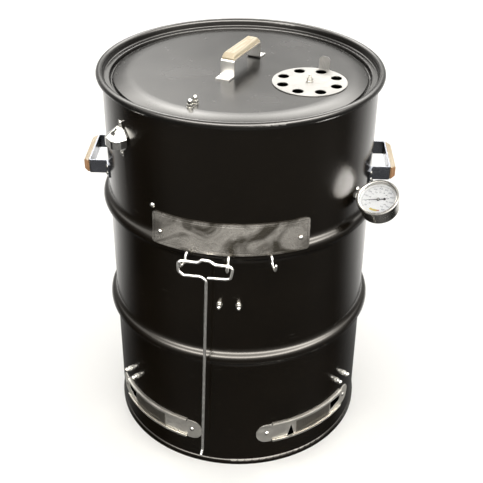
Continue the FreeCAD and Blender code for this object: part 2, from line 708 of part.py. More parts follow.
def hood(inset, back):
    """The opener's collar, and the sloping shoulders that join it to the neck above."""
    collar_low, collar_high, neck = OPENER_Z - 13, OPENER_Z + 4, OPENER_Z + 24
    wide = (HOOD_HALF - inset, HOOD_DEPTH - inset, 15.0 - inset, back)
    narrow = (NECK_HALF - inset, NECK_DEPTH - inset, 2.5, back)
    collar = Part.Face(hood_outline(*wide, collar_low))
    collar = collar.extrude(Vector(0, 0, collar_high - collar_low))
    outlines = [hood_outline(*wide, collar_high), hood_outline(*narrow, neck)]
    return collar.fuse(Part.makeLoft(outlines, True, True))


def opener():
    """Wall-mounted opener: two screw lugs, a hooded collar with a slot, and a tongue in the slot."""
    back, thick = BODY_R + 0.3, OPENER_T
    outline = [(-7, 38), (-7, 20), (-19, 6), (-19, -16), (-7, -26), (-7, -39),
               (7, -39), (7, -26), (19, -16), (19, 6), (7, 20), (7, 38)]
    points = [Vector(x, -back, OPENER_Z + z) for x, z in outline]
    plate = polygon_face(points).extrude(Vector(0, -thick, 0))
    square = [e for e in plate.Edges if abs(e.tangentAt(e.FirstParameter).y) > 0.9]
    plate = plate.makeFillet(2.4, square)
    inside = hood(OPENER_T - 0.1, back + thick - 2.4)
    cap = hood(0.0, back).cut(inside).cut(box(-50, 50, -back - thick, 0, 0, 900))
    slot = box(-6.5, 6.5, -back - 40, -back - thick - 0.1, OPENER_Z + 11, OPENER_Z + 20)
    mouth = box(-50, 50, -back - 60, -back - thick, OPENER_Z - 60, OPENER_Z - 12.9)
    tongue = strip([Vector(0, 0, 0), Vector(11, 0, -8), Vector(12.5, 0, -16)], [3.0], 7.0, 2.2)
    tongue = moved(turned(tongue, -90), y=-back - thick + 0.5, z=OPENER_Z + 19)
    body = plate.fuse(cap.cut(slot).cut(mouth)).fuse(tongue)
    holes = [outward(cylinder(BOLT_R + SLACK, -10, 20), 0, BODY_R, z) for z in opener_screw_heights()]
    return turned(body.cut(Part.makeCompound(holes)).removeSplitter(), OPENER_AZ)


def opener_screws():
    screw = dome_screw(12.0, head_r=5.2, head_h=3.0)
    return [outward(screw, OPENER_AZ, BODY_R + 2.9, z) for z in opener_screw_heights()]


# ---------------------------------------------------------------- thermometer
def facing(shape):
    """Put a piece made about the case's own axis (+Z out of the dial) in its place."""
    tilted = moved(turned(shape, THERMO_TURN - 90, Y_AXIS), 0, -THERMO_AT, THERMO_Z)
    return turned(tilted, THERMO_AZ)


def thermometer_fitting():
    """Bored bush through the wall, with its hexagon outside."""
    bush = hexagon(16.0, 5.0).fuse(cylinder(6.9, -12, 1))
    bored = bush.cut(cylinder(STEM_R + RUN, -20, 20)).removeSplitter()
    return outward(bored, THERMO_AZ, BODY_R + 0.1, THERMO_Z)


def thermometer_lock_nut():
    nut = turned(hex_nut(6.95, 17.0, 4.5), 180, X_AXIS)
    return outward(nut, THERMO_AZ, BODY_R - SHEET - 0.3, THERMO_Z)


def thermometer_stem():
    """Probe with a threaded collar where it meets the case."""
    length = THERMO_AT - CASE_R - THERMO_TIP
    probe = cylinder(STEM_R, 0, length - 0.5).fuse(Part.makeSphere(STEM_R, ORIGIN))
    probe = probe.fuse(cylinder(5.5, length - 3.4, length - 0.3))
    return outward(probe.removeSplitter(), THERMO_AZ, THERMO_TIP, THERMO_Z)


def thermometer_case():
    """Cup with a rounded back and a boss on its side that meets the stem's collar."""
    cup = cylinder(CASE_R, CASE_BACK, 15)
    back = [e for e in cup.Edges if e.BoundBox.ZMax < CASE_BACK + 0.1 and e.BoundBox.XLength > 10]
    cup = cup.makeFillet(4.0, back)
    hollow = cylinder(CASE_R - CASE_SHEET, CASE_BACK + CASE_SHEET, 20)
    boss = turned(cylinder(7.0, CASE_R - 4, CASE_R + 0.2), -90, X_AXIS)
    shell = cup.fuse(boss).cut(hollow)
    return facing(shell.removeSplitter())


def thermometer_bezel():
    """Turned ring that holds the glass."""
    points = [Vector(37.6, 0, 15.2), Vector(37.6, 0, 17.2), Vector(39.2, 0, 18.6), Vector(41.6, 0, 18.4),
              Vector(BEZEL_R, 0, 16.6), Vector(BEZEL_R, 0, 9.6), Vector(CASE_R + 0.05, 0, 8.6),
              Vector(CASE_R + 0.05, 0, 15.2)]
    return facing(spun(polygon_face(points)))


def thermometer_dial():
    dial = cylinder(DIAL_R, DIAL_Z - 0.8, DIAL_Z).cut(cylinder(1.2, DIAL_Z - 2, DIAL_Z + 2))
    return facing(dial)


def thermometer_glass():
    return facing(cylinder(DIAL_R, 13.4, 14.9))


def thermometer_needle():
    """Pointer with a ring hub and a round counterweight, and its spindle through the dial."""
    low, tail = DIAL_Z + 1.4, NEEDLE_TAIL - 2.0
    blade = polygon_face([Vector(-NEEDLE_LENGTH, 0, low), Vector(0, -0.9, low), Vector(tail, -0.8, low),
                          Vector(tail, 0.8, low), Vector(0, 0.9, low)]).extrude(Vector(0, 0, 0.5))
    hub = cylinder(3.2, low - 0.4, low + 1.0)
    weight = cylinder(2.5, low - 0.2, low + 0.6, x=NEEDLE_TAIL)
    spindle = cylinder(1.1, DIAL_Z - 3.2, DIAL_Z + 2.6)
    needle = blade.multiFuse([hub, weight, spindle]).removeSplitter()
    return facing(turned(needle, NEEDLE_AT - 180))


# ---------------------------------------------------------------- brackets, pegs and grates
def bracket_bolt_places():
    lower = [(az + side * LOWER_BOLT_STEP, LOWER_BRACKET_Z)
             for az in LOWER_BRACKET_AZ for side in (-1, 1)]
    basket = [(az + side * BASKET_BOLT_STEP, BASKET_BRACKET_Z)
              for az in BASKET_BRACKET_AZ for side in (-1, 1)]
    return lower + basket


def angle_bracket(azimuth, z_bolt, step, reach, width):
    """Angle with its upright leg against the wall and a shelf pointing inwards at the top."""
    inner = BODY_R - SHEET - 0.1
    flat = inner * math.cos(math.radians(math.degrees(math.asin(width / 2 / inner))))
    shelf_z = z_bolt + 12
    points = [Vector(flat, 0, z_bolt - 11), Vector(flat, 0, shelf_z), Vector(inner - reach, 0, shelf_z)]
    angle = strip(points, [5.0], width, BRACKET_T)
    bar = turned(angle, azimuth - 90)
    holes = [outward(cylinder(BOLT_R + SLACK, -25, 3), azimuth + side * step, BODY_R, z_bolt)
             for side in (-1, 1)]
    return bar.cut(Part.makeCompound(holes))


def lower_brackets():
    return [angle_bracket(az, LOWER_BRACKET_Z, LOWER_BOLT_STEP, LOWER_REACH, 60.0)
            for az in LOWER_BRACKET_AZ]


def basket_brackets():
    return [angle_bracket(az, BASKET_BRACKET_Z, BASKET_BOLT_STEP, BASKET_REACH, 50.0)
            for az in BASKET_BRACKET_AZ]


def bracket_bolts():
    """Bolts from inside the drum, whose ends stand in acorn nuts outside."""
    inside = BODY_R - SHEET - BRACKET_T - 2.0
    bolt = turned(hex_bolt(BODY_R - inside + 11.5), 180, X_AXIS)
    return [outward(bolt, az, inside, z) for az, z in bracket_bolt_places()]


def bracket_acorn_nuts():
    return [outward(acorn_nut(), az, BODY_R + 0.1, z) for az, z in bracket_bolt_places()]


def grate_pegs():
    peg = dome_screw(BODY_R - GRATE_PEG_R, head_r=5.6, head_h=4.0)
    return [outward(peg, az, BODY_R + 0.1, GRATE_BOLT_Z) for az in GRATE_BOLT_AZ]


def grate(z_low):
    """Round wire grate: a rim, two cross bars under it and parallel rods."""
    bar_r, step = 3.0, 18.0
    z_rim = z_low + GRATE_WIRE_R
    pieces = [Part.makeTorus(GRATE_R, GRATE_WIRE_R, Vector(0, 0, z_rim))]
    rows = int(GRATE_R // step)
    for row in range(-rows, rows + 1):
        half = math.sqrt(GRATE_R ** 2 - (row * step) ** 2)
        pieces.append(cylinder(GRATE_ROD_R, -half, half, X_AXIS, 0, row * step))
        pieces[-1].translate(Vector(0, 0, z_rim + 0.6))
    for x in (-120.0, 120.0):
        half = math.sqrt(GRATE_R ** 2 - x ** 2)
        pieces.append(cylinder(bar_r, -half, half, Y_AXIS, x, 0))
        pieces[-1].translate(Vector(0, 0, z_rim - 0.01))
    return pieces[0].multiFuse(pieces[1:]).removeSplitter()


def grate_handle(side):
    """Low wire loop that stands on two of the grate's rods, near the rim."""
    x, half, rise = side * GRATE_HANDLE_X, 54.0, 25.0
    foot = grate_z() + GRATE_WIRE_R + 0.6 + GRATE_ROD_R + 0.02
    points = [Vector(x, -half, foot), Vector(x, -half, foot + rise),
              Vector(x, half, foot + rise), Vector(x, half, foot)]
    return swept(rounded_wire(points, 10.0), GRATE_WIRE_R)


def grate_z():
    return GRATE_BOLT_Z + BOLT_R + 0.3


def lower_grate_z():
    return LOWER_BRACKET_Z + 12 + 0.3


# ---------------------------------------------------------------- fire basket and ash pan
def basket_z():
    return BASKET_BRACKET_Z + 12 + 0.3


def basket_ring():
    """Rolled band with three rows of staggered round holes."""
    z0 = basket_z()
    ring = cylinder(BASKET_R, z0, z0 + BASKET_H)
    ring = ring.cut(cylinder(BASKET_R - BASKET_SHEET, z0 - 1, z0 + BASKET_H + 1))
    cutters = []
    for row in range(3):
        for index in range(24):
            az = (index + 0.5 * (row % 2)) * 15.0
            cutters.append(outward(cylinder(11.0, -10, 10), az, BASKET_R, z0 + 38 + row * 38))
    bolts = [outward(cylinder(BOLT_R + SLACK, -10, 10), az, BASKET_R, z) for az, z in basket_bolt_places()]
    return ring.cut(Part.makeCompound(cutters + bolts))


def basket_bolt_places():
    """The grate's three rests near the foot and the handle's two bolts near the top."""
    z0 = basket_z()
    rests = [(az, z0 + 12.0) for az in (7.5, 127.5, 247.5)]
    return rests + [(90.0, z0 + BASKET_H - 14.0), (270.0, z0 + BASKET_H - 14.0)]


def basket_bolts():
    return [outward(hex_bolt(18.0), az, BASKET_R + 0.1, z) for az, z in basket_bolt_places()]


def basket_bolt_nuts():
    nut = turned(hex_nut(), 180, X_AXIS)
    places = basket_bolt_places()
    low = [outward(nut, az, BASKET_R - BASKET_SHEET - 0.2, z) for az, z in places[:3]]
    high = [outward(nut, az, BASKET_R - BASKET_SHEET - HANDLE_T - 0.7, z) for az, z in places[3:]]
    return low + high


def basket_grate():
    """Disc grate for the coals, carried on the basket's three lower bolts."""
    radius = BASKET_R - BASKET_SHEET - 7.0
    z_rim = basket_z() + 12.0 + BOLT_R + 0.3 + 3.0
    pieces = [Part.makeTorus(radius - 3.0, 3.0, Vector(0, 0, z_rim))]
    step = 21.0
    rows = int((radius - 3.0) // step)
    for row in range(-rows, rows + 1):
        half = math.sqrt((radius - 3.0) ** 2 - (row * step) ** 2)
        pieces.append(cylinder(2.6, -half, half, X_AXIS, 0, row * step))
        pieces[-1].translate(Vector(0, 0, z_rim + 0.2))
    return pieces[0].multiFuse(pieces[1:]).removeSplitter()


def basket_handle():
    """Flat bail over the basket, bolted inside the band on both sides."""
    half = BASKET_R - BASKET_SHEET - 0.6
    z0 = basket_z() + BASKET_H
    points = [Vector(-half, 0, z0 - 28), Vector(-half, 0, z0 + 10), Vector(-90, 0, z0 + 62),
              Vector(90, 0, z0 + 62), Vector(half, 0, z0 + 10), Vector(half, 0, z0 - 28)]
    bar = strip(points, [12.0, 20.0, 20.0, 12.0], 22.0, -HANDLE_T)
    holes = [outward(cylinder(BOLT_R + SLACK, -10, 6), az, BASKET_R, z)
             for az, z in basket_bolt_places()[3:]]
    return bar.cut(Part.makeCompound(holes))


def ash_pan():
    """Shallow pressed pan with a rolled-out brim, standing on the drum's bottom."""
    z0 = BOTTOM_Z + 0.3
    line = rounded_wire([Vector(0, 0, z0), Vector(PAN_R - 14, 0, z0), Vector(PAN_R, 0, z0 + PAN_H),
                         Vector(PAN_R + 9, 0, z0 + PAN_H)], [6.0, 3.0])
    return spun(sheet_face(line, SHEET))


# ---------------------------------------------------------------- lifting tool
def lifting_tool():
    """Bent wire tool: a flat hand loop, a long shank and a short tip turned outwards."""
    top = TOOL_BAR_Z
    line = [(-14.3, 7.0, 56.0), (-12.9, 0, 66.0), (1.4, 0, 525.0), (-10.5, 0, 533.0),
            (-45, 0, 531.5), (-55.5, 0, 540), (-55.5, 0, top), (-15, 0, top), (-7, 0, top + 7),
            (7, 0, top + 7), (19, 0, top), (56.0, 0, top), (51, 0, 537.0), (42, 0, 534.0),
            (5.5, 0, 531.5)]
    points = [Vector(x, -out, z) for x, out, z in line]
    radii = [9, 9, 10, 7, 9, 9, 8, 6, 6, 10, 9, 8, 6]
    wire = swept(rounded_wire(points, radii), TOOL_WIRE_R)
    ends = [Part.makeSphere(TOOL_WIRE_R, points[0]), Part.makeSphere(TOOL_WIRE_R, points[-1])]
    plane = HOOK_CUP_R * math.cos(math.radians(TOOL_AZ))
    return turned(moved(wire.multiFuse(ends).removeSplitter(), y=-plane), TOOL_AZ)


# ---------------------------------------------------------------- assembly
def build_drum():
    save("drum_shell", drum_shell())
    save("drum_bottom", drum_bottom())
    save("nameplate", nameplate())
    save("nameplate_screws", *nameplate_screws())
    save("nameplate_nuts", *inner_nuts([(s * PLATE_SCREW_AZ, PLATE_SCREW_Z) for s in (-1, 1)]))
    save("tool_hooks", *tool_hooks())
    save("tool_hook_nuts", *hook_nuts())
    save("bottle_opener", opener())
    save("opener_screws", *opener_screws())
    save("opener_nuts", *inner_nuts([(OPENER_AZ, z) for z in opener_screw_heights()]))


def build_side_handles():
    for name, azimuth in zip(("left", "right"), SIDE_HANDLE_AZ):
        save(f"{name}_handle_bracket", side_handle_bracket(azimuth))
        save(f"{name}_handle_grip", on_side(handle_grip(SIDE_HANDLE_H), azimuth))
    screws = [on_side(screw, az) for az in SIDE_HANDLE_AZ for screw in grip_screws(SIDE_HANDLE_H)]
    save("side_grip_screws", *screws)
    save("side_handle_bolts", *side_handle_bolts())
    save("side_handle_nuts", *inner_nuts(side_handle_bolt_places()))


def build_intakes():
    for name, side in (("left", -1), ("right", 1)):
        save(f"{name}_intake_base", intake_base(side))
        save(f"{name}_intake_shutter", intake_shutter(side))
    save("intake_screws", *intake_screws())
    save("intake_nuts", *inner_nuts([(az, INTAKE_Z) for az in intake_screw_azimuths()]))


def build_thermometer():
    save("thermometer_fitting", thermometer_fitting())
    save("thermometer_lock_nut", thermometer_lock_nut())
    save("thermometer_stem", thermometer_stem())
    save("thermometer_case", thermometer_case())
    save("thermometer_bezel", thermometer_bezel())
    save("thermometer_dial", thermometer_dial())
    save("thermometer_glass", thermometer_glass())
    save("thermometer_needle", thermometer_needle())


def build_inside():
    save("grate_pegs", *grate_pegs())
    save("grate_peg_nuts", *inner_nuts([(az, GRATE_BOLT_Z) for az in GRATE_BOLT_AZ]))
    save("lower_grate_brackets", *lower_brackets())
    save("basket_brackets", *basket_brackets())
    save("bracket_bolts", *bracket_bolts())
    save("bracket_acorn_nuts", *bracket_acorn_nuts())
    save("cooking_grate", grate(grate_z()))
    save("cooking_grate_handles", *[grate_handle(side) for side in (-1, 1)])
    save("lower_grate", grate(lower_grate_z()))
    save("charcoal_basket", basket_ring())
    save("basket_grate", basket_grate())
    save("basket_handle", basket_handle())
    save("basket_bolts", *basket_bolts())
    save("basket_bolt_nuts", *basket_bolt_nuts())
    save("ash_pan", ash_pan())
    save("lifting_tool", lifting_tool())


def build_lid():
    save("lid_panel", lid_panel())
    save("lid_handle_bracket", lid_handle_bracket())
    save("lid_handle_grip", on_lid(handle_grip(LID_HANDLE_H)))
    save("lid_grip_screws", *[on_lid(screw) for screw in grip_screws(LID_HANDLE_H)])
    save("lid_handle_screws", *lid_handle_screws())
    save("lid_handle_nuts", *lid_handle_nuts())
    save("vent_disc", vent_disc())
    save("vent_bolt", vent_bolt())
    save("vent_nut", vent_nut())
    save("lid_hook", lid_hook())
    save("lid_hook_bolts", *lid_hook_bolts())
    save("lid_hook_nuts", *lid_hook_nuts())


build_drum()
build_side_handles()
build_intakes()
build_thermometer()
build_inside()
build_lid()
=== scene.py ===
"""Upright drum smoker: its materials, fine detail, studio and camera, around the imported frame.

Metres, in the frame's own axes: +Z up, the front of the drum towards -Y. Fittings on the drum
are placed by azimuth, in degrees round +Z from the front towards +X.
"""
import json
import math

import bmesh
import bpy
from mathutils import Matrix, Vector


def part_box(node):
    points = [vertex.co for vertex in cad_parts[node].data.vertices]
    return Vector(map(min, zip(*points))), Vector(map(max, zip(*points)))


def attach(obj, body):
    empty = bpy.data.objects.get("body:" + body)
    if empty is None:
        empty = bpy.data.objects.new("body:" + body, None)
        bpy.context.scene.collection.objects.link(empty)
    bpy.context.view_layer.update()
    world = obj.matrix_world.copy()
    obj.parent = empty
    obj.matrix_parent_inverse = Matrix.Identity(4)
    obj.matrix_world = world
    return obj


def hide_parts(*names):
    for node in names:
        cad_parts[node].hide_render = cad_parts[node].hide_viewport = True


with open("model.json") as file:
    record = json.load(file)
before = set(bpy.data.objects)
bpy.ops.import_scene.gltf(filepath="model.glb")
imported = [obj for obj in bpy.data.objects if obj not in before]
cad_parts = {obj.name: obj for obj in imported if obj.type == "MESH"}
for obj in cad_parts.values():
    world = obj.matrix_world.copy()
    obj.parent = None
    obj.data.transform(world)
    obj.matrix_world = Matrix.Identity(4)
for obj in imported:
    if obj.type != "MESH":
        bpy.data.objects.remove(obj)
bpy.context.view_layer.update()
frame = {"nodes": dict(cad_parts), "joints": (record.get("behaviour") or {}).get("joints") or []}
NODES = frame["nodes"]
JOINTS = {joint["name"]: joint for joint in frame["joints"]}

MM = 0.001
UP = Vector((0, 0, 1))
SEAM_AZ = 180.0
LID_HANDLE_TURN = 22.0

# Colours are linear RGB.
# The lid's enamel is the body's black paint made a little lighter: that lift is a painted sheen.
ENAMEL, LIGHTENED_LID_ENAMEL = (0.0030, 0.0019, 0.0008), (0.0055, 0.0050, 0.0042)
SCUFF, DUST = (0.16, 0.15, 0.13), (0.45, 0.43, 0.40)
STEEL, ZINC, CHROME = (0.60, 0.585, 0.555), (0.66, 0.645, 0.60), (0.80, 0.79, 0.76)
# The nameplate's second colour is the dark of its painted reflections.
PLATE_LIGHT, PLATE_DARK_REFLECTION, PLATE_LINE = (0.62, 0.585, 0.535), (0.085, 0.075, 0.058), (0.10, 0.095, 0.085)
PAN_LIGHT, PAN_DARK = (0.56, 0.57, 0.58), (0.36, 0.37, 0.38)
SOOT = (0.05, 0.045, 0.04)
MAPLE, HONEY_MAPLE, PORE = (0.60, 0.545, 0.415), (0.56, 0.47, 0.34), (0.33, 0.23, 0.12)
PALE_END, HONEY_END = (0.50, 0.42, 0.29), (0.26, 0.12, 0.042)


# ---------------------------------------------------------------- material kit
class Finish:
    """One node material: a Principled shader and the textures that drive it."""

    def __init__(self, name, colour, roughness, metallic=0.0, ior=1.5):
        self.material = bpy.data.materials.new(name)
        self.material.use_nodes = True
        self.tree = self.material.node_tree
        self.shader = self.tree.nodes["Principled BSDF"]
        self.height = None
        self.set("Base Color", (*colour, 1.0))
        self.set("Roughness", roughness)
        self.set("Metallic", metallic)
        self.set("IOR", ior)

    def set(self, socket, value):
        self.shader.inputs[socket].default_value = value

    def node(self, kind, inputs=None, **settings):
        made = self.tree.nodes.new(kind)
        for key, value in settings.items():
            setattr(made, key, value)
        for key, value in (inputs or {}).items():
            self.feed(made.inputs[key], value)
        return made

    def feed(self, socket, value):
        if isinstance(value, bpy.types.NodeSocket):
            self.tree.links.new(value, socket)
        else:
            socket.default_value = value

    def drive(self, socket, value):
        """Link a texture to one of the shader's inputs."""
        self.feed(self.shader.inputs[socket], value)

    def place(self, scale=(1, 1, 1), turn=0.0):
        """Object coordinates in metres, turned about Z and then stretched."""
        coords = self.node("ShaderNodeTexCoord").outputs["Object"]
        turned = self.node("ShaderNodeVectorRotate", {"Vector": coords, "Angle": math.radians(turn)},
                           rotation_type="Z_AXIS").outputs["Vector"]
        return self.node("ShaderNodeVectorMath", {0: turned, 1: scale}, operation="MULTIPLY").outputs[0]

    def noise(self, vector, scale, detail=3.0, distortion=0.0):
        made = self.node("ShaderNodeTexNoise", {"Vector": vector, "Scale": scale, "Detail": detail,
                                                "Distortion": distortion})
        return made.outputs["Fac"]

    def cells(self, vector, scale):
        """Distance from the middle of the nearest cell, in cells."""
        return self.node("ShaderNodeTexVoronoi", {"Vector": vector, "Scale": scale}).outputs["Distance"]

    def math(self, operation, first, second=0.0):
        return self.node("ShaderNodeMath", {0: first, 1: second}, operation=operation).outputs[0]

    def span(self, value, low, high, to_low, to_high):
        """Map a value's range to another, clamped at both ends."""
        made = self.node("ShaderNodeMapRange", {"Value": value, "From Min": low, "From Max": high,
                                                "To Min": to_low, "To Max": to_high})
        return made.outputs["Result"]

    def blend(self, share, first, second):
        """A colour between two others, each a tuple or a texture."""
        made = self.node("ShaderNodeMix", data_type="RGBA")
        self.feed(made.inputs[0], share)
        for socket, colour in zip(made.inputs[6:8], (first, second)):
            self.feed(socket, (*colour, 1.0) if isinstance(colour, tuple) else colour)
        return made.outputs[2]

    def bump(self, height, depth):
        """Add a relief, whose height of 1 stands depth metres proud."""
        scaled = self.math("MULTIPLY", height, depth / MM)
        self.height = scaled if self.height is None else self.math("ADD", self.height, scaled)

    def done(self):
        """The finished material, with its reliefs linked."""
        if self.height is not None:
            made = self.node("ShaderNodeBump", {"Height": self.height, "Distance": MM, "Strength": 1.0})
            self.drive("Normal", made.outputs["Normal"])
        return self.material

    def cylinder_parts(self):
        """Azimuth round the drum's axis in degrees, from -180 to 180, and height in metres."""
        coords = self.node("ShaderNodeTexCoord").outputs["Object"]
        parts = self.node("ShaderNodeSeparateXYZ", {0: coords}).outputs
        minus_y = self.math("MULTIPLY", parts[1], -1.0)
        angle = self.math("ARCTAN2", parts[0], minus_y)
        return self.math("MULTIPLY", angle, 180.0 / math.pi), parts[2]

    def across_ends(self, turn):
        """0.9 on faces that look along Y once turned about Z, and 0 on the sides."""
        facing = self.node("ShaderNodeTexCoord").outputs["Normal"]
        turned = self.node("ShaderNodeVectorRotate", {"Vector": facing, "Angle": math.radians(turn)},
                           rotation_type="Z_AXIS").outputs["Vector"]
        parts = self.node("ShaderNodeSeparateXYZ", {0: turned}).outputs
        return self.span(self.math("ABSOLUTE", parts[1]), 0.35, 0.60, 0.0, 0.90)


def enamel(name, colour, roughness, ior, warmth):
    """Baked enamel: orange peel, fine dust, rubbed patches and a few pale scuffs."""
    paint = Finish(name, colour, roughness, ior=ior)
    paint.set("Specular Tint", (1.0, 1.0 - 0.4 * warmth, 1.0 - warmth, 1.0))
    place = paint.place()
    patches = paint.noise(place, 9.0, 4.0)
    dust = paint.span(paint.noise(place, 1400.0, 1.0), 0.70, 0.82, 0.0, 1.0)
    scuffs = paint.noise(paint.place((1.0, 1.0, 9.0), 35.0), 38.0, 5.0, 0.6)
    scuffs = paint.span(scuffs, 0.66, 0.80, 0.0, 1.0)
    tone = paint.blend(paint.span(patches, 0.3, 0.7, 0.0, 1.0), colour, tuple(c * 1.45 for c in colour))
    marked = paint.blend(paint.math("MULTIPLY", scuffs, 0.10), tone, SCUFF)
    dusty = paint.blend(paint.math("MULTIPLY", dust, 0.05), marked, DUST)
    paint.drive("Base Color", dusty)
    smooth = paint.span(patches, 0.3, 0.75, roughness * 0.88, roughness * 1.18)
    worn = paint.math("ADD", smooth, paint.math("MULTIPLY", scuffs, 0.12))
    paint.drive("Roughness", worn)
    paint.bump(paint.noise(place, 420.0, 2.0), 0.010 * MM)
    paint.bump(paint.noise(place, 16.0, 1.0), 0.16 * MM)
    return paint


def body_enamel():
    """The drum's enamel, with the welded seam up the back of the rolled wall."""
    paint = enamel("satin_body_enamel", ENAMEL, 0.20, 1.45, 0.12)
    azimuth, height = paint.cylinder_parts()
    off_seam = paint.math("SUBTRACT", paint.math("ABSOLUTE", azimuth), SEAM_AZ)
    ripple = paint.math("SINE", paint.math("MULTIPLY", height, 2200.0))
    bead = paint.span(paint.math("ABSOLUTE", off_seam), 0.25, 0.75, 1.0, 0.0)
    paint.bump(bead, 0.5 * MM)
    paint.bump(paint.math("MULTIPLY", bead, ripple), 0.06 * MM)
    return paint.done()


def brushed(name, colour, roughness, grain, turn=0.0, tone=0.16):
    """Brushed sheet: fine streaks over slow changes of tone. Grain counts them per metre, by axis."""
    steel = Finish(name, colour, roughness, metallic=1.0)
    streaks = steel.noise(steel.place(grain, turn), 1.0, 4.0)
    patches = steel.noise(steel.place(), 14.0, 3.0)
    smudges = steel.noise(steel.place(), 55.0, 4.0, 0.8)
    dark = tuple(c * (1 - tone) for c in colour)
    mixed = steel.blend(steel.span(patches, 0.3, 0.7, 0.0, 1.0), colour, dark)
    deep = tuple(c * 0.62 for c in colour)
    lined = steel.blend(steel.span(streaks, 0.35, 0.7, 0.0, 0.30), mixed, deep)
    steel.drive("Base Color", lined)
    rough = steel.span(streaks, 0.3, 0.7, roughness * 0.8, roughness * 1.3)
    rough = steel.math("ADD", rough, steel.span(smudges, 0.5, 0.75, 0.0, 0.10))
    steel.drive("Roughness", rough)
    steel.bump(streaks, 0.006 * MM)
    return steel.done()


BORDER_INSET, BORDER_WIDTH = 4.5 * MM, 0.7 * MM


def nameplate_steel():
    """Hand-finished plate: fine swirls inside an engraved border, under cloudy light and dark patches
    that are painted reflections, and a painted highlight that lightens its left end.
    """
    steel = Finish("swirled_nameplate_steel", STEEL, 0.26, metallic=1.0)
    place = steel.place()
    warp = steel.noise(steel.place((1.0, 1.0, 1.5)), 11.0, 7.0, 1.6)
    rings = steel.cells(place, 120.0)
    phase = steel.math("ADD", steel.math("MULTIPLY", rings, 22.0), steel.math("MULTIPLY", warp, 30.0))
    swirl = steel.math("SINE", phase)
    fine = steel.noise(steel.place((40.0, 40.0, 420.0)), 1.0, 4.0)
    azimuth, height = steel.cylinder_parts()
    across = steel.node("ShaderNodeSeparateXYZ", {0: place}).outputs[0]
    low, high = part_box("nameplate")
    edge = steel.math("SUBTRACT", high.x, across)
    for first, second in ((across, low.x), (height, low.z), (high.z, height)):
        edge = steel.math("MINIMUM", edge, steel.math("SUBTRACT", first, second))
    off_line = steel.math("ABSOLUTE", steel.math("SUBTRACT", edge, BORDER_INSET))
    line = steel.span(off_line, 0.0, BORDER_WIDTH, 1.0, 0.0)
    # Painted highlight: the plate's left end, by azimuth, is lightened towards its pale tone.
    left_end_painted_highlight = steel.span(azimuth, -25.0, -9.0, 0.35, 0.0)
    # The cloudy patches of the warp noise are painted reflections, from the steel's pale tone to dark.
    shade = steel.math("SUBTRACT", steel.span(warp, 0.40, 0.60, 0.0, 0.95), left_end_painted_highlight)
    shade = steel.math("ADD", shade, steel.span(swirl, -1.0, 1.0, -0.10, 0.12))
    tone = steel.blend(steel.span(shade, 0.0, 1.0, 0.0, 1.0), PLATE_LIGHT, PLATE_DARK_REFLECTION)
    steel.drive("Base Color", steel.blend(line, tone, PLATE_LINE))
    steel.drive("Roughness", steel.span(swirl, -1.0, 1.0, 0.20, 0.38))
    steel.bump(swirl, 0.010 * MM)
    steel.bump(warp, 0.6 * MM)
    steel.bump(fine, 0.008 * MM)
    steel.bump(steel.math("MULTIPLY", line, -1.0), 0.15 * MM)
    return steel.done()


def plated(name, colour, roughness):
    """Bright plating: faint ripples under it and dull fingerprints on it."""
    metal = Finish(name, colour, roughness, metallic=1.0)
    place = metal.place()
    cloud = metal.noise(place, 160.0, 3.0)
    prints = metal.noise(place, 600.0, 3.0, 1.2)
    dark = tuple(c * 0.78 for c in colour)
    metal.drive("Base Color", metal.blend(metal.span(cloud, 0.35, 0.7, 0.0, 1.0), colour, dark))
    metal.drive("Roughness", metal.span(prints, 0.4, 0.7, roughness, roughness * 1.9))
    metal.bump(cloud, 0.02 * MM)
    return metal.done()


def heat_tinted(name, colour, tinge):
    """Steel that has been hot: patches of a second tinge under specks of dark scale."""
    metal = Finish(name, colour, 0.45, metallic=1.0)
    place = metal.place()
    patches = metal.noise(place, 12.0, 4.0, 0.7)
    scale = metal.noise(place, 330.0, 4.0)
    tint = metal.blend(metal.span(patches, 0.42, 0.62, 0.0, 1.0), colour, tinge)
    tint = metal.blend(metal.span(scale, 0.5, 0.7, 0.0, 0.55), tint, SOOT)
    metal.drive("Base Color", tint)
    metal.drive("Roughness", metal.span(scale, 0.35, 0.7, 0.34, 0.62))
    metal.bump(scale, 0.03 * MM)
    return metal.done()


def galvanised():
    """Zinc-dipped pan: broad crystals, banded from light to dark."""
    metal = Finish("galvanised_pan", (0.5, 0.5, 0.5), 0.42, metallic=1.0)
    grey = metal.math("FRACT", metal.math("MULTIPLY", metal.cells(metal.place(), 85.0), 7.0))
    metal.drive("Base Color", metal.blend(metal.span(grey, 0.0, 1.0, 0.0, 1.0), PAN_LIGHT, PAN_DARK))
    metal.drive("Roughness", metal.span(grey, 0.0, 1.0, 0.32, 0.52))
    metal.bump(metal.noise(metal.place(), 240.0, 3.0), 0.015 * MM)
    return metal.done()


def wood(name, turn, colour, end_grain):
    """Oiled maple with its grain along Y once turned about Z."""
    timber = Finish(name, colour, 0.48)
    dark = (colour[0] * 0.70, colour[1] * 0.61, colour[2] * 0.50)
    growth = timber.noise(timber.place((85.0, 3.2, 120.0), turn), 1.0, 3.0, 0.4)
    bands = timber.math("SINE", timber.math("MULTIPLY", growth, 34.0))
    pores = timber.noise(timber.place((1500.0, 45.0, 1500.0), turn), 1.0, 3.0)
    stain = timber.noise(timber.place((18.0, 9.0, 18.0), turn), 1.0, 2.0)
    tone = timber.blend(timber.span(bands, -1.0, 1.0, 0.0, 0.80), colour, dark)
    tone = timber.blend(timber.span(stain, 0.45, 0.75, 0.0, 0.5), tone, dark)
    tone = timber.blend(timber.span(pores, 0.60, 0.78, 0.0, 0.6), tone, PORE)
    tone = timber.blend(timber.across_ends(turn), tone, end_grain)
    timber.drive("Base Color", tone)
    timber.drive("Roughness", timber.span(pores, 0.4, 0.7, 0.42, 0.62))
    timber.bump(pores, 0.03 * MM)
    timber.bump(bands, 0.02 * MM)
    return timber.done()


